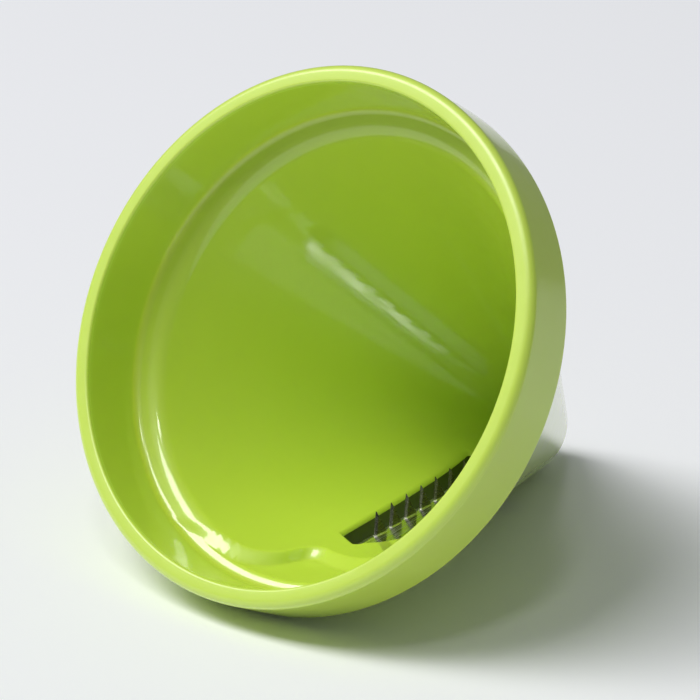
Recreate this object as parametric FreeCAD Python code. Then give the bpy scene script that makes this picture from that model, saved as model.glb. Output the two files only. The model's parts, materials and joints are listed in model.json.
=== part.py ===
import FreeCAD, Part
import math
import os

# Hand-turned julienne funnel, lying on its side on a table.
# A moulded cone with a rim band and a rounded nose carries a toothed steel strip in a slot of its wall.
# The vegetable is pushed in at the mouth and turned, and strips leave through the slot.
# Everything is drawn about the funnel's own axis, mouth up at height zero, and laid down at the end.

# Rim band, with radii, and depths below the mouth
mouth_outer_radius = 48.0
band_taper = 0.3
band_height = 12.1
lip_width = 3.3
wall_at_foot = 4.8
lip_outer_round = 1.5
lip_inner_round = 0.3
band_rear_round = 0.7
band_corner_round = 1.6
flat_count = 2

# Shoulder between the rim wall and the cone, inside
shoulder_depth = 13.5
shoulder_fillet = 1.8
shoulder_round = 2.0

# Cone and nose
band_step = 3.577
cone_half_angle = 27.6
cone_wall = 3.45
nose_outer_radius = 10.1
nose_inner_radius = 7.5

# Slot for the blade, seen square to the cone line that carries it.
# "Along" runs down that line from the mouth plane, "across" runs round the cone, "in" towards the axis.
blade_azimuth = 16.0
slot_start = 30.5
slot_to_nose = 0.7
slot_far_side = -7.3
slot_near_side = -0.45
slot_start_slant = 38.0
slot_far_corner = 1.2
slot_near_corner = 1.2
slot_edge_round = 0.8
slot_margin = 0.3

# Flat bed for the strip beside the slot, square to the cone line at the first tooth but for a small rise
bed_start = 32.0
bed_to_slot_end = 1.5
bed_depth = 0.7
bed_rise = 1.0
bed_width_at_start = 9.4
bed_width_at_end = 6.0

# Steel strip: its cutting edge reaches over the slot, and its teeth stand up along that edge.
# Each tooth is an even triangle, folded up along a base that is turned a little from the strip's own line.
strip_thickness = 0.5
strip_play = 0.15
strip_edge = -0.92
first_tooth = 36.3
tooth_pitch = 5.15
tooth_base = 3.5
tooth_turn = 7.8
tooth_height = 4.15
tooth_bevel = 0.3

# Rivets
rivet_count = 3
rivet_radius = 1.0
rivet_head_radius = 1.7
rivet_play = 0.04
rivet_from_strip_end = 7.5
rivet_from_back_edge = 2.9
rivet_foot_radius = 1.9
rivet_foot_height = 0.8
rivet_grip = 1.5
foot_recess_play = 0.3

# Relief above the rim end of the slot, seen square to the same cone line
relief_depth = 1.2
relief_corner_across = -7.5
relief_corner_along = 28.2
relief_turn = 27.0
relief_blend_along = 18.9
relief_blend_radius = 9.0
relief_corner_round = 1.0
relief_edge_round = 0.9
relief_shoulder_round = 0.7
relief_run = 26.0
relief_reach = 30.0

# Reach of cutting shapes past the material they cut, and slack for telling faces apart
reach = 12.0
slack = 0.001

alpha = math.radians(cone_half_angle)
band_rear_radius = mouth_outer_radius - band_taper
mouth_inner_radius = mouth_outer_radius - lip_width
wall_foot_radius = band_rear_radius - wall_at_foot
outer_apex_depth = band_height + (band_rear_radius - band_step) / math.tan(alpha)
inner_apex_depth = outer_apex_depth - cone_wall / math.sin(alpha)
nose_outer_centre = outer_apex_depth - nose_outer_radius / math.sin(alpha)
nose_inner_centre = inner_apex_depth - nose_inner_radius / math.sin(alpha)
slot_end = nose_inner_centre / math.cos(alpha) - slot_to_nose
bed_end = slot_end - bed_to_slot_end
tooth_count = int((bed_end - first_tooth) / tooth_pitch)


def vector(x, y, z):
    return FreeCAD.Vector(x, y, z)


def point(radius, depth):
    return vector(radius, 0, -depth)


def unit(direction):
    return direction * (1 / direction.Length)


def outer_radius(depth):
    return (outer_apex_depth - depth) * math.tan(alpha)


def inner_radius(depth, extra=0.0):
    return (inner_apex_depth - depth) * math.tan(alpha) + extra / math.cos(alpha)


def arc_at(before, corner, after, radius):
    """Start, middle, end and centre of the arc that rounds a corner."""
    back = unit(before - corner)
    ahead = unit(after - corner)
    half = back.getAngle(ahead) / 2
    span = radius / math.tan(half)
    centre = corner + unit(back + ahead) * (radius / math.sin(half))
    middle = centre + unit(corner - centre) * radius
    return corner + back * span, middle, corner + ahead * span, centre


def chords_of(start, centre, end, count):
    """Edges of a round of revolution, kept to a few flats so that the long ring stays light."""
    first = start - centre
    last = end - centre
    turn = first.getAngle(last)
    points = []
    for index in range(count + 1):
        share = index / count
        near = math.sin((1 - share) * turn) / math.sin(turn)
        far = math.sin(share * turn) / math.sin(turn)
        points.append(centre + first * near + last * far)
    return [Part.LineSegment(one, two).toShape() for one, two in zip(points, points[1:])]


def rounded_path(corners, closed=False, flats=0):
    """Edges through corners given as (point, round radius), with true arcs or a few flats at the rounds."""
    points = [corner[0] for corner in corners]
    count = len(corners)
    starts = []
    arcs = []
    for index in range(count):
        radius = corners[index][1]
        if radius:
            arc = arc_at(points[index - 1], points[index], points[(index + 1) % count], radius)
            arcs.append(arc)
            starts.append((arc[0], arc[2]))
        else:
            arcs.append(None)
            starts.append((points[index], points[index]))
    edges = []
    last = count if closed else count - 1
    for index in range(last):
        if arcs[index] and flats:
            start, _, end, centre = arcs[index]
            edges.extend(chords_of(start, centre, end, flats))
        elif arcs[index]:
            edges.append(Part.Arc(*arcs[index][:3]).toShape())
        following = starts[(index + 1) % count][0]
        edges.append(Part.LineSegment(starts[index][1], following).toShape())
    return edges


def nose(centre_depth, radius):
    """Rounded end: the point where it leaves the cone, and its arc to the axis."""
    slope = (alpha + math.pi / 2) / 2
    start = point(radius * math.cos(alpha), centre_depth + radius * math.sin(alpha))
    middle = point(radius * math.cos(slope), centre_depth + radius * math.sin(slope))
    end = point(0, centre_depth + radius)
    return start, Part.Arc(start, middle, end).toShape(), end


def revolved(edges):
    return Part.Face(Part.Wire(edges)).revolve(vector(0, 0, 0), vector(0, 0, 1), 360)


def band_rear_corner():
    before = point(mouth_outer_radius, 0)
    corner = point(band_rear_radius, band_height)
    after = point(outer_radius(band_height), band_height)
    return before, corner, after


def outer_skin():
    """All that lies inside the outer skin: band, cone and nose."""
    start, arc, tip = nose(nose_outer_centre, nose_outer_radius)
    before, corner, after = band_rear_corner()
    edges = rounded_path([
        (point(0, 0), 0),
        (before, lip_outer_round),
        (corner, band_rear_round),
        (after, band_corner_round),
        (start, 0),
    ], flats=flat_count)
    edges.append(arc)
    edges.append(Part.LineSegment(tip, point(0, 0)).toShape())
    return revolved(edges)


def cavity():
    """The space inside the funnel."""
    start, arc, tip = nose(nose_inner_centre, nose_inner_radius)
    flare = mouth_inner_radius + lip_inner_round
    edges = rounded_path([
        (point(0, -reach), 0),
        (point(flare, -reach), 0),
        (point(flare, 0), 0),
        (point(mouth_inner_radius, lip_inner_round), 0),
        (point(wall_foot_radius, shoulder_depth), shoulder_fillet),
        (point(inner_radius(shoulder_depth), shoulder_depth), shoulder_round),
        (start, 0),
    ], flats=flat_count)
    edges.append(arc)
    edges.append(Part.LineSegment(tip, point(0, -reach)).toShape())
    return revolved(edges)


def relief_limit():
    """The relief's deeper cone, from just above the shoulder down, with its own round on the shoulder."""
    high = shoulder_depth - relief_shoulder_round
    corner = point(inner_radius(shoulder_depth, relief_depth), shoulder_depth)
    cone_end = point(inner_radius(nose_inner_centre, relief_depth), nose_inner_centre)
    on_shoulder = corner + vector(reach, 0, 0)
    start, _, end, centre = arc_at(on_shoulder, corner, cone_end, relief_shoulder_round)
    before = rounded_path([(point(0, high), 0), (point(start.x, high), 0), (start, 0)])
    after = rounded_path([(end, 0), (cone_end, 0), (point(0, nose_inner_centre), 0), (point(0, high), 0)])
    return revolved(before + chords_of(start, centre, end, flat_count) + after)


def blade_frame():
    """Placement with X across, Y along and Z in, on the inner cone line that carries the blade."""
    turn = math.radians(blade_azimuth)
    outwards = vector(math.sin(turn), -math.cos(turn), 0)
    across = vector(math.cos(turn), math.sin(turn), 0)
    along = outwards * -math.sin(alpha) + vector(0, 0, -math.cos(alpha))
    inwards = outwards * -math.cos(alpha) + vector(0, 0, math.sin(alpha))
    origin = outwards * inner_radius(0)
    return FreeCAD.Placement(FreeCAD.Matrix(
        across.x, along.x, inwards.x, origin.x,
        across.y, along.y, inwards.y, origin.y,
        across.z, along.z, inwards.z, origin.z,
        0, 0, 0, 1))


def in_blade_frame(shape):
    shape.Placement = blade_frame().inverse()
    return shape


def prism(corners, low, high):
    """Upright prism in the blade frame over corners given as (across, along, round radius)."""
    path = [(vector(across, along, low), radius) for across, along, radius in corners]
    face = Part.Face(Part.Wire(rounded_path(path, closed=True)))
    return face.extrude(vector(0, 0, high - low))


def cylinder(radius, low, high, across, along):
    return Part.makeCylinder(radius, high - low, vector(across, along, low))


def relief_outline():
    turn = math.radians(relief_turn)
    run = relief_run
    foot = (relief_corner_along - relief_blend_along) / math.cos(turn)
    blend_across = relief_corner_across - foot * math.sin(turn)
    far_across = relief_corner_across + run * math.cos(turn)
    far_along = relief_corner_along - run * math.sin(turn)
    return [
        (relief_corner_across, relief_corner_along, relief_corner_round),
        (far_across, far_along, 0),
        (far_across, -reach, 0),
        (blend_across - run, -reach, 0),
        (blend_across - run, relief_blend_along, 0),
        (blend_across, relief_blend_along, relief_blend_radius),
    ]


def slot_outline():
    """The slot's rim end is slanted, so that strips leave it without catching."""
    slant = (slot_near_side - slot_far_side) * math.tan(math.radians(slot_start_slant))
    return [
        (slot_far_side, slot_start + slant, slot_far_corner),
        (slot_near_side, slot_start, slot_near_corner),
        (slot_near_side, slot_end, slot_near_corner),
        (slot_far_side, slot_end, slot_far_corner),
    ]


def seated(shape):
    """Moves a shape from the strip's own level onto the floor of its bed."""
    pivot = vector(0, first_tooth, 0)
    turn = FreeCAD.Placement(vector(0, 0, -bed_depth), FreeCAD.Rotation(vector(1, 0, 0), bed_rise), pivot)
    shape.Placement = turn
    return shape


def tooth_feet():
    """Both ends of each tooth's base, in the strip's plane."""
    turn = math.radians(tooth_turn)
    ahead = vector(math.sin(turn), math.cos(turn), 0)
    feet = []
    for index in range(tooth_count):
        start = vector(strip_edge, first_tooth + index * tooth_pitch, 0)
        feet.append((start, start + ahead * tooth_base))
    return feet


def back_edge(along):
    """How far across the bed reaches at a place along it."""
    share = (along - bed_start) / (bed_end - bed_start)
    return bed_width_at_start + (bed_width_at_end - bed_width_at_start) * share


def rivet_places():
    low = bed_start + rivet_from_strip_end
    high = bed_end - rivet_from_strip_end
    spacing = (high - low) / (rivet_count - 1)
    alongs = [low + index * spacing for index in range(rivet_count)]
    return [(back_edge(along) - rivet_from_back_edge, along) for along in alongs]


def plain_cone(extra=0.0):
    """Inner cone alone, from well above the mouth to near its apex, moved outwards by the extra depth."""
    high = -relief_reach
    low = nose_inner_centre
    edges = rounded_path([
        (point(0, high), 0),
        (point(inner_radius(high, extra), high), 0),
        (point(inner_radius(low, extra), low), 0),
        (point(0, low), 0),
    ], closed=True)
    return in_blade_frame(revolved(edges))


def is_upright(face):
    """True for a side wall left by a prism."""
    surface = face.Surface
    if surface.TypeId == "Part::GeomPlane":
        return abs(surface.Axis.z) < slack
    return surface.TypeId == "Part::GeomCylinder" and abs(surface.Axis.z) > 1 - slack


def is_inner_cone(face):
    surface = face.Surface
    return surface.TypeId == "Part::GeomCone" and abs(surface.Apex.z) < slack


def opened_cone(cutter, edge_round):
    """Plain inner cone joined to a cutter, with the edges where their walls meet rounded."""
    shape = plain_cone().fuse(cutter)
    walls = [edge for face in shape.Faces if is_upright(face) for edge in face.Edges]
    meeting = []
    for face in shape.Faces:
        if is_inner_cone(face):
            for edge in face.Edges:
                if any(edge.isSame(other) for other in walls):
                    meeting.append(edge)
    return shape.makeFillet(edge_round, meeting)


def relief_cutter():
    outline = prism(relief_outline(), -relief_reach, relief_reach)
    opened = opened_cone(plain_cone(relief_depth).common(outline), relief_edge_round)
    return opened.common(in_blade_frame(relief_limit()))


def slot_cutter():
    opened = opened_cone(prism(slot_outline(), -reach, reach), slot_edge_round)
    margin = slot_edge_round + slot_margin
    around = prism([
        (slot_far_side - margin, slot_start - margin, 0),
        (slot_near_side + margin, slot_start - margin, 0),
        (slot_near_side + margin, slot_end + margin, 0),
        (slot_far_side - margin, slot_end + margin, 0),
    ], -reach, reach)
    return opened.common(around)


def bed_cutter():
    corners = [
        (strip_edge, bed_start, 0),
        (bed_width_at_start, bed_start, 0),
        (bed_width_at_end, bed_end, 0),
        (strip_edge, bed_end, 0),
    ]
    return seated(prism(corners, 0, reach))


def make_body():
    hollow = in_blade_frame(cavity()).fuse(relief_cutter())
    body = in_blade_frame(outer_skin()).cut(hollow)
    body = body.cut(slot_cutter())
    body = body.cut(bed_cutter())
    for across, along in rivet_places():
        hole = cylinder(rivet_radius + rivet_play, -reach, reach / 2, across, along)
        recess = cylinder(rivet_foot_radius + foot_recess_play, -reach, -rivet_grip, across, along)
        body = body.cut([seated(hole), seated(recess)])
    return body


def make_tooth(start, end):
    """Upright triangle on one base, with its two slanting edges ground towards the slot."""
    level = vector(0, 0, strip_thickness)
    top = (start + end) * 0.5 + level + vector(0, 0, tooth_height)
    inwards = unit((end - start).cross(vector(0, 0, 1))) * strip_thickness
    side = Part.Face(Part.makePolygon([start, end, end + level, top, start + level, start]))
    tooth = side.extrude(inwards)
    back = [edge for edge in tooth.Edges if is_slanting_back_edge(edge, start + inwards, inwards)]
    return tooth.makeChamfer(tooth_bevel, back)


def is_slanting_back_edge(edge, foot, inwards):
    low, high = edge.Vertexes[0].Point, edge.Vertexes[-1].Point
    on_back = all(abs((place - foot).dot(inwards)) < slack for place in (low, high))
    run = high - low
    return on_back and abs(run.z) > slack and math.hypot(run.x, run.y) > slack


def make_strip():
    """Strip with a stepped cutting edge, since each tooth took its metal from beyond its base."""
    low = bed_start + strip_play
    high = bed_end - strip_play
    outline = [vector(strip_edge, low, 0)]
    for start, end in tooth_feet():
        outline.extend([start, end])
    outline.append(vector(strip_edge, high, 0))
    outline.append(vector(back_edge(high) - strip_play, high, 0))
    outline.append(vector(back_edge(low) - strip_play, low, 0))
    outline.append(outline[0])
    strip = Part.Face(Part.makePolygon(outline)).extrude(vector(0, 0, strip_thickness))
    strip = strip.fuse([make_tooth(start, end) for start, end in tooth_feet()])
    for across, along in rivet_places():
        strip = strip.cut(rivet_head(across, along, rivet_play))
    return seated(strip.removeSplitter())


def rivet_head(across, along, play):
    """Countersunk head, as deep as the strip is thick."""
    return Part.makeCone(rivet_radius + play, rivet_head_radius + play, strip_thickness,
                         vector(across, along, 0))


def make_rivets():
    rivets = []
    for across, along in rivet_places():
        low = -rivet_grip - rivet_foot_height
        shank = cylinder(rivet_radius, low, 0, across, along)
        foot = cylinder(rivet_foot_radius, low, -rivet_grip, across, along)
        rivets.append(shank.fuse([rivet_head(across, along, 0), foot]).removeSplitter())
    return seated(Part.makeCompound(rivets))


def lying_placement():
    """Turns the funnel onto its side, resting on the rear edge of its band and on its nose."""
    before, corner, after = band_rear_corner()
    edge_centre = arc_at(before, corner, after, band_rear_round)[3]
    run = nose_outer_centre + edge_centre.z
    rise = edge_centre.x
    offset = (band_rear_round - nose_outer_radius) / math.hypot(run, rise)
    tilt = math.atan2(rise, run) + math.asin(offset)
    lift = nose_outer_centre * math.sin(tilt) + nose_outer_radius
    front = lip_outer_round * math.cos(tilt) - lip_outer_round
    front -= (mouth_outer_radius - lip_outer_round) * math.sin(tilt)
    rear = nose_outer_centre * math.cos(tilt) + nose_outer_radius
    turn = FreeCAD.Rotation(vector(1, 0, 0), 90 - math.degrees(tilt))
    return FreeCAD.Placement(vector(0, -(front + rear) / 2, lift), turn)


if __name__ == "__main__":
    os.makedirs("parts", exist_ok=True)
    placement = lying_placement().multiply(blade_frame())
    nodes = {
        "funnel_body": make_body(),
        "julienne_blade": make_strip(),
        "blade_rivets": make_rivets(),
    }
    for name, shape in nodes.items():
        shape.Placement = placement.multiply(shape.Placement)
        shape.exportStep("parts/" + name + ".step")
        print(name, shape.isValid(), shape.ShapeType, len(shape.Solids), shape.Volume)
        print(shape.optimalBoundingBox())
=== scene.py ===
"""Looks of the hand-turned julienne funnel: glossy lime plastic, a toothed steel strip, a pale table."""

import json
import math

import bmesh
import bpy
from mathutils import Matrix, Vector


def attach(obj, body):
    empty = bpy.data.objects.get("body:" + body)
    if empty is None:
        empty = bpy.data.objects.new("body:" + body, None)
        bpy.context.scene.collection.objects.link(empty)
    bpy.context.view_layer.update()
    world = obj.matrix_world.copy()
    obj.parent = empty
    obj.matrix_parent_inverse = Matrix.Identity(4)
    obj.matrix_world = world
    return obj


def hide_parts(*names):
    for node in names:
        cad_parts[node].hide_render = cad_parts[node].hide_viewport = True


MM = 0.001

# Funnel sizes in millimetres: radii, and depths below the mouth
MOUTH_OUTER = 48.0
MOUTH_INNER = 44.7
BAND_REAR = 47.7
BAND_HEIGHT = 12.1
BAND_STEP = 3.577
WALL_FOOT = 43.6
WALL_FOOT_DEPTH = 12.9
SHOULDER_DEPTH = 13.6
CONE_HALF_ANGLE = math.radians(27.6)
CONE_WALL = 3.45
NOSE_OUTER = 10.1
NOSE_INNER = 7.5

# Rounds of the moulding
LIP_OUTER_ROUND = 1.5
LIP_INNER_ROUND = 0.5
BAND_REAR_ROUND = 0.7
BAND_CORNER_ROUND = 1.6
SHOULDER_FILLET = 1.6
SHOULDER_ROUND = 4.0
RELIEF_SHOULDER_FILLET = 1.6
RELIEF_SHOULDER_ROUND = 1.4

# Slot and bed for the strip, seen square to the cone line that carries them
BLADE_AZIMUTH = math.radians(16.0)
SLOT_START = 30.5
SLOT_FAR_SIDE = -7.3
SLOT_NEAR_SIDE = -0.45
SLOT_SLANT = math.radians(38.0)
SLOT_CORNER = 1.2
SLOT_EDGE_ROUND = 0.8
SLOT_EDGE_TURN = math.radians(70)
SLOT_TO_NOSE = 0.7
BED_START = 32.0
BED_TO_SLOT_END = 1.5
BED_DEPTH = 0.7
BED_RISE = math.radians(1.0)
BED_PIVOT = 36.3
BED_EDGE = -0.92
BED_WIDTH_AT_START = 9.4
BED_WIDTH_AT_END = 6.0
RIVET_COUNT = 3
RIVET_FROM_BED_END = 7.5
RIVET_FROM_BACK_EDGE = 2.9
RIVET_HOLE = 1.04
RIVET_RECESS = 2.2
RIVET_GRIP = 1.5

# Relief above the rim end of the slot: corner of its step, turn, and the long blend to the left
RELIEF_DEPTH = 1.8
RELIEF_CORNER_ACROSS = -7.5
RELIEF_CORNER_ALONG = 28.2
RELIEF_TURN = math.radians(27.0)
RELIEF_BLEND_ALONG = 18.9
RELIEF_BLEND_RADIUS = 9.0
RELIEF_CORNER_ROUND = 2.5
STEP_OUTSIDE = 0.45
STEP_INSIDE = 0.2
STEP_EASE = 0.2

# Fineness of the moulded shell: angles between its columns and how far round the blade they are fine,
# in degrees, and the least angle of an edge that stays sharp
FINE_TURN = 0.4
COARSE_TURN = 2.0
FINE_BEFORE = 64.0
FINE_AFTER = 24.0
SHARP_ANGLE = math.radians(34)

# Steps in the rounds and straight runs of the shell's profile and of the cutters
OUTER_NOSE_STEPS = 14
OUTER_CONE_STEPS = 30
BAND_ROUND_STEPS = 6
BAND_STEPS = 5
LIP_OUTER_STEPS = 8
LIP_INNER_STEPS = 4
WALL_STEPS = 6
SHOULDER_STEPS = 8
RELIEF_RUN_STEPS = 96
SLOT_RUN_STEPS = 50
INNER_NOSE_STEPS = 12
SLOT_CORNER_STEPS = 8
SLOT_EDGE_STEPS = 6
PIN_SIDES = 32

# Reach of the cutters past the wall, the slot's last widening inside the cone and how high it starts,
# and how far above the blade's cone line the relief can lie
REACH = 12.0
SLOT_WIDENING = 1.1
SLOT_WIDENING_HEIGHT = 0.05
RELIEF_REACH = 15.0

# Noises of the finishes, each as scale and detail, and the range of a noise that is spread over a finish
TONE_NOISE = (45, 3)
GRAIN_NOISE = (300, 4)
BUMP_NOISE = (260, 2)
CUT_NOISE = (900, 3)
BRUSH_NOISE = (5000, 2)
NOISE_RANGE = (0.3, 0.7)

# Lime plastic: tones, roughness under and in its clear coat, bump, and light that passes below the surface
LIME_TONES = ((0.53, 0.73, 0.056), (0.58, 0.76, 0.070))
LIME_ROUGHNESS = (0.32, 0.42)
COAT_ROUGHNESS = (0.05, 0.09)
PLASTIC_IOR = 1.5
BUMP_STRENGTH = 0.08
BUMP_DISTANCE = 0.0002
SUBSURFACE_WEIGHT = 0.25
SUBSURFACE_RADIUS = (1.0, 1.0, 0.3)
SUBSURFACE_SCALE = 0.003

# Lip: its paler tone, a painted sheen, what its trimming adds to the coat's roughness, and the depths in
# metres where both fade out
LIP_SHEEN_TONE = (0.60, 0.80, 0.10)
LIP_ADDED_ROUGHNESS = 0.3
LIP_FADE = (0.0006, 0.0016)

# Deep walls of the slot: a painted shade, much darker than the moulded plastic, with their own roughness
# and specular
SLOT_SHADE_TONES = ((0.05, 0.08, 0.004), (0.09, 0.13, 0.008))
CUT_ROUGHNESS = (0.5, 0.7)
CUT_SPECULAR = 0.2

# Steel of each node: name, tone on the bed, tone where it stands up (on the blade's teeth a painted shade,
# much darker than the bed), and range of roughness
STEEL_FINISHES = {
    "julienne_blade": ("blade_steel", (0.74, 0.74, 0.70), (0.10, 0.10, 0.09), (0.06, 0.42)),
    "blade_rivets": ("rivet_steel", (0.55, 0.55, 0.53), (0.60, 0.60, 0.58), (0.2, 0.4)),
}

# How much slower the brush lines change along the strip, and the heights in metres where it stands up
BRUSH_STRETCH = 0.03
STANDING_UP = (0.0005, 0.0008)

# Table and world
FLOOR_SIZE = 8.0
TABLE_COLOUR = (0.94, 0.955, 1.0)
TABLE_ROUGHNESS = 0.6
TABLE_SPECULAR = 0.3
WORLD_COLOUR = (0.93, 0.96, 1.0)
WORLD_STRENGTH = 0.18

# Lamps: the two directions between which the object sees each, its half width and its radiance
LAMPS = {
    "key": ((-0.74, -0.35, 0.57), (0.0, -0.37, 0.93), math.radians(10), 9.0),
    "top": ((0.17, -0.35, 0.92), (0.28, -0.35, 0.89), math.radians(4), 15.0),
}
LAMP_COLOUR = (1.0, 0.99, 0.97)
LAMP_DISTANCE = 5.0

# The photograph's camera: where the mouth's centre stands in the camera's own frame, and its direction
PICTURE_WIDTH = 700
FOCAL_PIXELS = 3000
SENSOR_WIDTH = 36.0
MOUTH_RIGHT = -0.01015
MOUTH_UP = 0.00322
MOUTH_AWAY = 0.5142
CAMERA_AZIMUTH = math.radians(39.956)
CAMERA_ELEVATION = math.radians(20.891)
CAMERA_NEAREST = 0.01
CAMERA_FARTHEST = 20

SIN, COS, TAN = (f(CONE_HALF_ANGLE) for f in (math.sin, math.cos, math.tan))
OUTER_APEX = BAND_HEIGHT + (BAND_REAR - BAND_STEP) / TAN
INNER_APEX = OUTER_APEX - CONE_WALL / SIN
OUTER_NOSE_CENTRE = OUTER_APEX - NOSE_OUTER / SIN
INNER_NOSE_CENTRE = INNER_APEX - NOSE_INNER / SIN
SLOT_END = INNER_NOSE_CENTRE / COS - SLOT_TO_NOSE
BED_END = SLOT_END - BED_TO_SLOT_END


def funnel_axes(record):
    """Funnel's own frame in the row frame, from the mouth's mount: Z out of the mouth, X to the right."""
    mount = record["mounts"][0]
    axis = Vector(mount["axis"]).normalized()
    side = Vector((1, 0, 0))
    centre = Vector(mount["pos_m"])
    centre.x = 0
    turn = Matrix((side, axis.cross(side), axis)).transposed().to_4x4()
    return Matrix.Translation(centre) @ turn @ Matrix.Scale(MM, 4)


def blade_axes():
    """Blade's frame in the funnel's: X across, Y along the cone line, Z in."""
    outwards = Vector((math.sin(BLADE_AZIMUTH), -math.cos(BLADE_AZIMUTH), 0))
    across = Vector((math.cos(BLADE_AZIMUTH), math.sin(BLADE_AZIMUTH), 0))
    along = outwards * -SIN - Vector((0, 0, COS))
    inwards = outwards * -COS + Vector((0, 0, SIN))
    turn = Matrix((across, along, inwards)).transposed().to_4x4()
    return Matrix.Translation(outwards * INNER_APEX * TAN) @ turn


def bed_axes():
    """Bed's frame in the blade's: lowered to the bed's floor and turned by its small rise."""
    pivot = Vector((0, BED_PIVOT, 0))
    turn = Matrix.Rotation(BED_RISE, 4, "X")
    lowered = Matrix.Translation((0, 0, -BED_DEPTH))
    return lowered @ Matrix.Translation(pivot) @ turn @ Matrix.Translation(-pivot)


def rounded(before, corner, after, radius, steps):
    """Points of the arc that rounds a corner."""
    back = (before - corner).normalized()
    ahead = (after - corner).normalized()
    half = back.angle(ahead) / 2
    span = radius / math.tan(half)
    centre = corner + (back + ahead).normalized() * (radius / math.sin(half))
    first = corner + back * span - centre
    last = corner + ahead * span - centre
    turn = first.angle(last)
    points = []
    for index in range(steps + 1):
        share = index / steps
        near = math.sin((1 - share) * turn) / math.sin(turn)
        far = math.sin(share * turn) / math.sin(turn)
        points.append(centre + first * near + last * far)
    return points


def run(start, end, steps):
    """Points inside a straight run, without its ends."""
    return [start.lerp(end, index / steps) for index in range(1, steps)]


def cone_point(apex, depth, extra=0.0):
    """Point of a cone's profile at a depth, moved out square to the cone by the extra."""
    return Vector(((apex - depth) * TAN + extra / COS, depth))


def nose_arc(centre, radius, steps):
    """Points of a rounded nose, from the cone towards the axis, without the axis point."""
    points = []
    for index in range(steps):
        slope = CONE_HALF_ANGLE + (math.pi / 2 - CONE_HALF_ANGLE) * index / steps
        points.append(Vector((radius * math.cos(slope), centre + radius * math.sin(slope))))
    return points


def outer_rows():
    """Outer profile from the nose to the lip, as (radius, depth)."""
    mouth = Vector((MOUTH_OUTER, 0))
    rear = Vector((BAND_REAR, BAND_HEIGHT))
    corner = cone_point(OUTER_APEX, BAND_HEIGHT)
    nose = nose_arc(OUTER_NOSE_CENTRE, NOSE_OUTER, OUTER_NOSE_STEPS)[::-1]
    corner_arc = rounded(nose[-1], corner, rear, BAND_CORNER_ROUND, BAND_ROUND_STEPS)
    rear_arc = rounded(corner, rear, mouth, BAND_REAR_ROUND, BAND_ROUND_STEPS)
    lip_arc = rounded(rear, mouth, Vector((MOUTH_INNER, 0)), LIP_OUTER_ROUND, LIP_OUTER_STEPS)
    rows = nose + run(nose[-1], corner_arc[0], OUTER_CONE_STEPS) + corner_arc
    return rows + rear_arc + run(rear_arc[-1], lip_arc[0], BAND_STEPS) + lip_arc


def inner_rows(extra, shoulder_fillet, shoulder_round):
    """Inner profile from the lip to the nose, with its cone moved outwards by the extra depth."""
    edge = Vector((MOUTH_INNER, 0))
    foot = Vector((WALL_FOOT, WALL_FOOT_DEPTH))
    corner = cone_point(INNER_APEX, SHOULDER_DEPTH, extra)
    low = cone_point(INNER_APEX, SLOT_START, extra)
    nose = nose_arc(INNER_NOSE_CENTRE, NOSE_INNER, INNER_NOSE_STEPS)
    lip_arc = rounded(Vector((MOUTH_OUTER, 0)), edge, foot, LIP_INNER_ROUND, LIP_INNER_STEPS)
    foot_arc = rounded(edge, foot, corner, shoulder_fillet, SHOULDER_STEPS)
    corner_arc = rounded(foot, corner, low, shoulder_round, SHOULDER_STEPS)
    rows = lip_arc + run(lip_arc[-1], foot_arc[0], WALL_STEPS) + foot_arc + corner_arc
    rows += run(corner_arc[-1], low, RELIEF_RUN_STEPS) + [low]
    return rows + run(low, nose[0], SLOT_RUN_STEPS) + nose


def relief_distance(across, along):
    """Signed distance to the relief's outline, negative inside it."""
    right = Vector((math.cos(RELIEF_TURN), -math.sin(RELIEF_TURN)))
    down = Vector((math.sin(RELIEF_TURN), math.cos(RELIEF_TURN)))
    offset = Vector((across - RELIEF_CORNER_ACROSS, along - RELIEF_CORNER_ALONG))
    before_riser = -offset.dot(right)
    past_edge = offset.dot(down)
    corner = RELIEF_CORNER_ROUND
    step = math.hypot(max(corner + before_riser, 0), max(corner + past_edge, 0))
    step += min(-corner, max(before_riser, past_edge))
    past_upper = along - RELIEF_BLEND_ALONG
    lean = math.sin(RELIEF_TURN)
    one = before_riser - RELIEF_BLEND_RADIUS
    two = past_upper - RELIEF_BLEND_RADIUS
    by_riser = (one - lean * two) / (1 - lean * lean)
    by_upper = (two - lean * one) / (1 - lean * lean)
    if by_riser < 0 and by_upper < 0:
        return RELIEF_BLEND_RADIUS - math.sqrt(by_riser * one + by_upper * two)
    return min(step, past_upper)


def ramp_area(reach):
    """Area under a slope that rises from 0 at 0 to 1 at 1 and then stays there, up to the given reach."""
    if reach <= 0:
        return 0
    return reach * reach / 2 if reach < 1 else reach - 0.5


def relief_share(across, along):
    """Reached part of the relief's depth: 0 outside, 1 inside, by an even slope with rounds at its ends."""
    share = (STEP_OUTSIDE - relief_distance(across, along)) / (STEP_OUTSIDE + STEP_INSIDE)
    return (ramp_area(share + STEP_EASE) - ramp_area(share - STEP_EASE)) / (2 * STEP_EASE)


def turns():
    """Angles of the shell's columns about the axis, finer round the blade and the relief."""
    blade = math.degrees(BLADE_AZIMUTH) - 90
    fine = round((FINE_BEFORE + FINE_AFTER) / FINE_TURN)
    coarse = round((360 - FINE_BEFORE - FINE_AFTER) / COARSE_TURN)
    angles = [blade - FINE_BEFORE + FINE_TURN * index for index in range(fine)]
    angles += [blade + FINE_AFTER + COARSE_TURN * index for index in range(coarse)]
    return [math.radians(angle) for angle in angles]


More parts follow.
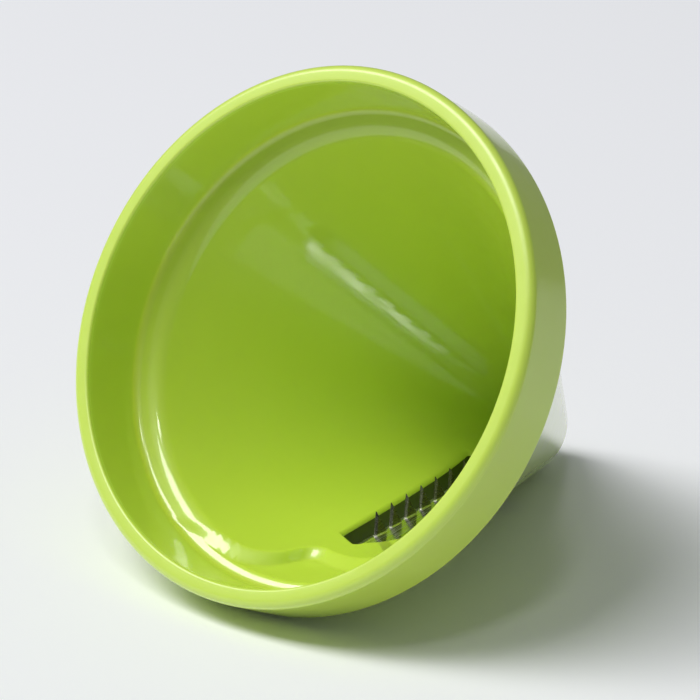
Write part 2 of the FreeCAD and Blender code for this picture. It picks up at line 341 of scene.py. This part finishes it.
def shell_mesh():
    """Closed shell of the funnel, turned from its profile, with the relief's step pressed into it."""
    outside = outer_rows()
    plain = inner_rows(0, SHOULDER_FILLET, SHOULDER_ROUND)
    deep = inner_rows(RELIEF_DEPTH, RELIEF_SHOULDER_FILLET, RELIEF_SHOULDER_ROUND)
    to_blade = blade_axes().inverted()
    shell = bmesh.new()
    columns = []
    for turn in turns():
        ray = Vector((math.cos(turn), math.sin(turn), 0))
        column = [shell.verts.new(ray * radius - Vector((0, 0, depth))) for radius, depth in outside]
        for near, far in zip(plain, deep):
            place = to_blade @ (ray * near.x - Vector((0, 0, near.y)))
            share = relief_share(place.x, place.y) if place.z < RELIEF_REACH else 0
            radius, depth = near.lerp(far, share)
            column.append(shell.verts.new(ray * radius - Vector((0, 0, depth))))
        columns.append(column)
    tip_outside = shell.verts.new((0, 0, -OUTER_NOSE_CENTRE - NOSE_OUTER))
    tip_inside = shell.verts.new((0, 0, -INNER_NOSE_CENTRE - NOSE_INNER))
    for one, two in zip(columns, columns[1:] + columns[:1]):
        for row in range(len(one) - 1):
            shell.faces.new((one[row], two[row], two[row + 1], one[row + 1]))
        shell.faces.new((two[0], one[0], tip_outside))
        shell.faces.new((one[-1], two[-1], tip_inside))
    return shell


def surface_height(across, along):
    """Height of the inner cone over the blade's cone line, in the blade's frame."""
    radius = INNER_APEX * TAN - SIN * along
    bend = math.cos(2 * CONE_HALF_ANGLE)
    return COS * (radius - math.sqrt(radius * radius - bend * across * across)) / bend


def slot_outline():
    """Slot's outline with rounded corners and an even run of points, and the outward direction at each."""
    slant = (SLOT_NEAR_SIDE - SLOT_FAR_SIDE) * math.tan(SLOT_SLANT)
    slot_corners = [
        Vector((SLOT_FAR_SIDE, SLOT_START + slant)),
        Vector((SLOT_NEAR_SIDE, SLOT_START)),
        Vector((SLOT_NEAR_SIDE, SLOT_END)),
        Vector((SLOT_FAR_SIDE, SLOT_END)),
    ]
    count = len(slot_corners)
    arcs = []
    for index, corner in enumerate(slot_corners):
        before, after = slot_corners[index - 1], slot_corners[(index + 1) % count]
        arcs.append(rounded(before, corner, after, SLOT_CORNER, SLOT_CORNER_STEPS))
    points = []
    for index, arc in enumerate(arcs):
        following = arcs[(index + 1) % count][0]
        points += arc + run(arc[-1], following, max(2, round((following - arc[-1]).length)))
    outline = []
    for index, point in enumerate(points):
        ahead = points[(index + 1) % len(points)] - points[index - 1]
        outline.append((point, Vector((ahead.y, -ahead.x)).normalized()))
    return outline


def slot_levels(point, outward):
    """Points up the slot's wall, with the round where it meets the inner cone."""
    levels = [(0.0, -REACH)]
    for index in range(SLOT_EDGE_STEPS + 1):
        slope = SLOT_EDGE_TURN * index / SLOT_EDGE_STEPS
        levels.append((SLOT_EDGE_ROUND * (1 - math.cos(slope)), SLOT_EDGE_ROUND * (math.sin(slope) - 1)))
    levels.append((SLOT_EDGE_ROUND * SLOT_WIDENING, SLOT_WIDENING_HEIGHT))
    levels.append((SLOT_EDGE_ROUND * SLOT_WIDENING, REACH))
    places = []
    for offset, height in levels:
        plan = point + outward * offset
        if abs(height) < REACH:
            height += surface_height(plan.x, plan.y)
        places.append(Vector((plan.x, plan.y, height)))
    return places


def lofted(stacks):
    """Closed mesh over columns of points, flat at both ends. Its first row has the first material."""
    loft = bmesh.new()
    columns = [[loft.verts.new(place) for place in stack] for stack in stacks]
    for one, two in zip(columns, columns[1:] + columns[:1]):
        for row in range(len(one) - 1):
            face = loft.faces.new((one[row], two[row], two[row + 1], one[row + 1]))
            face.material_index = min(row, 1)
    loft.faces.new([column[0] for column in columns])
    loft.faces.new([column[-1] for column in columns])
    return loft


def bed_back_edge(along):
    """How far across the bed's back edge lies at a place along it."""
    share = (along - BED_START) / (BED_END - BED_START)
    return BED_WIDTH_AT_START + (BED_WIDTH_AT_END - BED_WIDTH_AT_START) * share


def bed_cutter():
    """Cutter for the strip's bed, from the bed's floor inwards."""
    bed_corners = [
        (BED_EDGE, BED_START),
        (BED_WIDTH_AT_START, BED_START),
        (BED_WIDTH_AT_END, BED_END),
        (BED_EDGE, BED_END),
    ]
    return lofted([[Vector((x, y, 0)), Vector((x, y, REACH))] for x, y in bed_corners])


def rivet_places():
    """Centres of the rivets on the bed."""
    low = BED_START + RIVET_FROM_BED_END
    high = BED_END - RIVET_FROM_BED_END
    alongs = [low + (high - low) * index / (RIVET_COUNT - 1) for index in range(RIVET_COUNT)]
    return [Vector((bed_back_edge(along) - RIVET_FROM_BACK_EDGE, along)) for along in alongs]


def pin_cutter(centre, radius, low, high):
    """Round cutter square to the bed, between two heights."""
    stacks = []
    for index in range(PIN_SIDES):
        turn = 2 * math.pi * index / PIN_SIDES
        x = centre.x + radius * math.cos(turn)
        y = centre.y + radius * math.sin(turn)
        stacks.append([Vector((x, y, low)), Vector((x, y, high))])
    return lofted(stacks)


def as_object(name, mesh, matrix):
    """Makes an object from mesh data being built, with its place put into its points."""
    bmesh.ops.transform(mesh, matrix=matrix, verts=mesh.verts)
    bmesh.ops.recalc_face_normals(mesh, faces=mesh.faces)
    data = bpy.data.meshes.new(name)
    mesh.to_mesh(data)
    mesh.free()
    thing = bpy.data.objects.new(name, data)
    bpy.context.scene.collection.objects.link(thing)
    return thing


def cut_away(body, cutters):
    """Takes the cutters out of a body and removes them."""
    for cutter in cutters:
        modifier = body.modifiers.new(cutter.name, "BOOLEAN")
        modifier.operation = "DIFFERENCE"
        modifier.solver = "EXACT"
        modifier.material_mode = "TRANSFER"
        modifier.object = cutter
    evaluated = body.evaluated_get(bpy.context.evaluated_depsgraph_get())
    result = bpy.data.meshes.new_from_object(evaluated)
    body.modifiers.clear()
    body.data = result
    for cutter in cutters:
        bpy.data.objects.remove(cutter)


def smooth(piece):
    """Smooth shading that keeps true edges, weighted towards the larger faces."""
    piece.data.polygons.foreach_set("use_smooth", [True] * len(piece.data.polygons))
    piece.data.set_sharp_from_angle(angle=SHARP_ANGLE)
    modifier = piece.modifiers.new("weighted_normals", "WEIGHTED_NORMAL")
    modifier.keep_sharp = True


def make_shell(funnel, moulded, slot_shade):
    """Moulded shell with the strip's bed, the rivets' holes and the slot, whose deep walls carry a painted
    shade.
    """
    body = as_object("funnel_shell", shell_mesh(), Matrix())
    body.data.materials.append(moulded)
    blade = blade_axes()
    bed = blade @ bed_axes()
    slot = lofted([slot_levels(point, outward) for point, outward in slot_outline()])
    cutters = [as_object("slot", slot, blade), as_object("bed", bed_cutter(), bed)]
    for place in rivet_places():
        cutters.append(as_object("hole", pin_cutter(place, RIVET_HOLE, -REACH, REACH / 2), bed))
        cutters.append(as_object("recess", pin_cutter(place, RIVET_RECESS, -REACH, -RIVET_GRIP), bed))
    # First material of the slot cutter: painted shade on the slot's deep walls
    cutters[0].data.materials.append(slot_shade)
    for cutter in cutters:
        cutter.data.materials.append(moulded)
    cut_away(body, cutters)
    body.data.transform(funnel)
    smooth(body)
    return body


def principled(name):
    """New material with its node tree and its shader."""
    material = bpy.data.materials.new(name)
    material.use_nodes = True
    tree = material.node_tree
    return material, tree, tree.nodes["Principled BSDF"]


def object_coordinates(tree):
    return tree.nodes.new("ShaderNodeTexCoord").outputs["Object"]


def noise(tree, coordinates, scale, detail):
    texture = tree.nodes.new("ShaderNodeTexNoise")
    texture.inputs["Scale"].default_value = scale
    texture.inputs["Detail"].default_value = detail
    tree.links.new(coordinates, texture.inputs["Vector"])
    return texture.outputs["Fac"]


def spread(tree, value, source, target):
    """Takes a value from one range to another, kept within it."""
    node = tree.nodes.new("ShaderNodeMapRange")
    for name, number in zip(("From Min", "From Max", "To Min", "To Max"), source + target):
        node.inputs[name].default_value = number
    tree.links.new(value, node.inputs["Value"])
    return node.outputs["Result"]


def reach_along(tree, coordinates, origin, direction):
    """Distance from a point along a direction, in metres, from the object's own coordinates."""
    dot = tree.nodes.new("ShaderNodeVectorMath")
    dot.operation = "DOT_PRODUCT"
    dot.inputs[1].default_value = direction
    tree.links.new(coordinates, dot.inputs[0])
    less = tree.nodes.new("ShaderNodeMath")
    less.operation = "SUBTRACT"
    less.inputs[1].default_value = origin.dot(direction)
    tree.links.new(dot.outputs["Value"], less.inputs[0])
    return less.outputs["Value"]


def blended(tree, factor, one, other):
    """Mix of two colours, each a plain colour or a socket."""
    node = tree.nodes.new("ShaderNodeMix")
    node.data_type = "RGBA"
    tree.links.new(factor, node.inputs["Factor"])
    for name, colour in (("A", one), ("B", other)):
        if isinstance(colour, tuple):
            node.inputs[name].default_value = (*colour, 1)
        else:
            tree.links.new(colour, node.inputs[name])
    return node.outputs["Result"]


def added(tree, one, other):
    """Sum of two values."""
    node = tree.nodes.new("ShaderNodeMath")
    node.operation = "ADD"
    tree.links.new(one, node.inputs[0])
    tree.links.new(other, node.inputs[1])
    return node.outputs["Value"]


def lime_plastic(funnel):
    """Glossy moulded plastic, a little uneven in colour and gloss, matt on the trimmed lip, where a paler
    tone is a painted sheen.
    """
    material, tree, shader = principled("lime_plastic")
    coordinates = object_coordinates(tree)
    tone = noise(tree, coordinates, *TONE_NOISE)
    colour = blended(tree, tone, *LIME_TONES)
    down = -funnel.to_3x3().col[2].normalized()
    depth = reach_along(tree, coordinates, funnel.translation, down)
    # Painted sheen: a paler, bluer tone blended onto the lip near the mouth
    lip = spread(tree, depth, LIP_FADE, (1.0, 0.0))
    tree.links.new(blended(tree, lip, colour, LIP_SHEEN_TONE), shader.inputs["Base Color"])
    grain = noise(tree, coordinates, *GRAIN_NOISE)
    tree.links.new(spread(tree, grain, NOISE_RANGE, LIME_ROUGHNESS), shader.inputs["Roughness"])
    trimmed = spread(tree, depth, LIP_FADE, (LIP_ADDED_ROUGHNESS, 0.0))
    gloss = spread(tree, grain, NOISE_RANGE, COAT_ROUGHNESS)
    tree.links.new(added(tree, trimmed, gloss), shader.inputs["Coat Roughness"])
    shader.inputs["Coat Weight"].default_value = 1.0
    shader.inputs["Coat IOR"].default_value = PLASTIC_IOR
    bump = tree.nodes.new("ShaderNodeBump")
    bump.inputs["Strength"].default_value = BUMP_STRENGTH
    bump.inputs["Distance"].default_value = BUMP_DISTANCE
    tree.links.new(noise(tree, coordinates, *BUMP_NOISE), bump.inputs["Height"])
    tree.links.new(bump.outputs["Normal"], shader.inputs["Normal"])
    tree.links.new(bump.outputs["Normal"], shader.inputs["Coat Normal"])
    shader.inputs["IOR"].default_value = PLASTIC_IOR
    shader.inputs["Subsurface Weight"].default_value = SUBSURFACE_WEIGHT
    shader.inputs["Subsurface Radius"].default_value = SUBSURFACE_RADIUS
    shader.inputs["Subsurface Scale"].default_value = SUBSURFACE_SCALE
    return material


def slot_shade_plastic():
    """The same plastic on the deep walls of the slot, painted darker as shade, and a little rough."""
    material, tree, shader = principled("slot_shade_plastic")
    grain = noise(tree, object_coordinates(tree), *CUT_NOISE)
    # Painted shade: a dark green tone on the slot's deep walls
    tree.links.new(blended(tree, grain, *SLOT_SHADE_TONES), shader.inputs["Base Color"])
    tree.links.new(spread(tree, grain, NOISE_RANGE, CUT_ROUGHNESS), shader.inputs["Roughness"])
    shader.inputs["Specular IOR Level"].default_value = CUT_SPECULAR
    return material


def steel(axes, name, flat, standing_tone_and_shade, roughness):
    """Brushed steel with fine lines along the strip, and a second tone where it stands up from the bed, a
    painted shade on the blade's teeth.
    """
    material, tree, shader = principled(name)
    coordinates = object_coordinates(tree)
    across, along, up = (axes.to_3x3().col[index].normalized() for index in range(3))
    lines = tree.nodes.new("ShaderNodeCombineXYZ")
    height = reach_along(tree, coordinates, axes.translation, up)
    stretched = along * BRUSH_STRETCH
    tree.links.new(reach_along(tree, coordinates, axes.translation, across), lines.inputs["X"])
    tree.links.new(reach_along(tree, coordinates, axes.translation, stretched), lines.inputs["Y"])
    tree.links.new(height, lines.inputs["Z"])
    brush = noise(tree, lines.outputs["Vector"], *BRUSH_NOISE)
    # Painted shade: the blade's standing teeth take a much darker tone than its bed
    stands_up = spread(tree, height, STANDING_UP, (0.0, 1.0))
    tree.links.new(blended(tree, stands_up, flat, standing_tone_and_shade), shader.inputs["Base Color"])
    tree.links.new(spread(tree, brush, NOISE_RANGE, roughness), shader.inputs["Roughness"])
    shader.inputs["Metallic"].default_value = 1.0
    return material


def pale_table():
    material, _, shader = principled("pale_table")
    shader.inputs["Base Color"].default_value = (*TABLE_COLOUR, 1)
    shader.inputs["Roughness"].default_value = TABLE_ROUGHNESS
    shader.inputs["Specular IOR Level"].default_value = TABLE_SPECULAR
    return material


def make_floor():
    bpy.ops.mesh.primitive_plane_add(size=FLOOR_SIZE, location=(0, 0, 0))
    floor = bpy.context.object
    floor.name = "floor"
    floor.data.materials.append(pale_table())


def softbox(name, one_end, other_end, half_width, radiance):
    """Long area lamp that the object sees between two directions, with the given half width as an angle."""
    data = bpy.data.lights.new(name, "AREA")
    one_end, other_end = Vector(one_end).normalized(), Vector(other_end).normalized()
    towards = (one_end + other_end).normalized()
    data.shape = "RECTANGLE"
    data.size = 2 * LAMP_DISTANCE * math.tan(one_end.angle(other_end) / 2)
    data.size_y = 2 * LAMP_DISTANCE * math.tan(half_width)
    data.energy = radiance * math.pi * data.size * data.size_y
    data.color = LAMP_COLOUR
    lamp = bpy.data.objects.new(name, data)
    along = (other_end - one_end).normalized()
    turn = Matrix((along, towards.cross(along), towards)).transposed().to_4x4()
    lamp.matrix_world = Matrix.Translation(towards * LAMP_DISTANCE) @ turn
    bpy.context.scene.collection.objects.link(lamp)


def make_world():
    world = bpy.data.worlds.new("studio")
    bpy.context.scene.world = world
    world.use_nodes = True
    background = world.node_tree.nodes["Background"]
    background.inputs["Color"].default_value = (*WORLD_COLOUR, 1)
    background.inputs["Strength"].default_value = WORLD_STRENGTH


def make_camera(mouth):
    """The photograph's camera, placed from the mouth's centre."""
    data = bpy.data.cameras.new("camera")
    data.sensor_width = SENSOR_WIDTH
    data.lens = FOCAL_PIXELS * SENSOR_WIDTH / PICTURE_WIDTH
    data.clip_start = CAMERA_NEAREST
    data.clip_end = CAMERA_FARTHEST
    camera = bpy.data.objects.new("camera", data)
    bpy.context.scene.collection.objects.link(camera)
    az, el = CAMERA_AZIMUTH, CAMERA_ELEVATION
    right = Vector((math.cos(az), math.sin(az), 0))
    forward = Vector((-math.sin(az) * math.cos(el), math.cos(az) * math.cos(el), -math.sin(el)))
    up = right.cross(forward)
    place = mouth - right * MOUTH_RIGHT - up * MOUTH_UP - forward * MOUTH_AWAY
    turn = Matrix((right, up, -forward)).transposed().to_4x4()
    camera.matrix_world = Matrix.Translation(place) @ turn
    bpy.context.scene.camera = camera


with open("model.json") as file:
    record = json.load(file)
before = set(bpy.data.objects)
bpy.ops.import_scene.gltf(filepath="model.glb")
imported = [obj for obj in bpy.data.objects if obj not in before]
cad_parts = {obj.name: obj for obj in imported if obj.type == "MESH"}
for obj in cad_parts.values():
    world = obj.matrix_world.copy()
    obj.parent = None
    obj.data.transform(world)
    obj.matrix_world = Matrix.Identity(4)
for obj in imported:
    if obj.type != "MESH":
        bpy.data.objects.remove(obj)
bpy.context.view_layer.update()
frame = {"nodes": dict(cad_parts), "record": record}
funnel = funnel_axes(frame["record"])
make_camera(funnel.translation)
shell = make_shell(funnel, lime_plastic(funnel), slot_shade_plastic())
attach(shell, "root")
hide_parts("funnel_body")
bed = funnel @ blade_axes() @ bed_axes()
for node, finish in STEEL_FINISHES.items():
    mesh = frame["nodes"][node].data
    mesh.materials.clear()
    mesh.materials.append(steel(bed, *finish))
make_floor()
make_world()
for name, lamp in LAMPS.items():
    softbox(name, *lamp)
bpy.context.scene.view_settings.view_transform = "Standard"
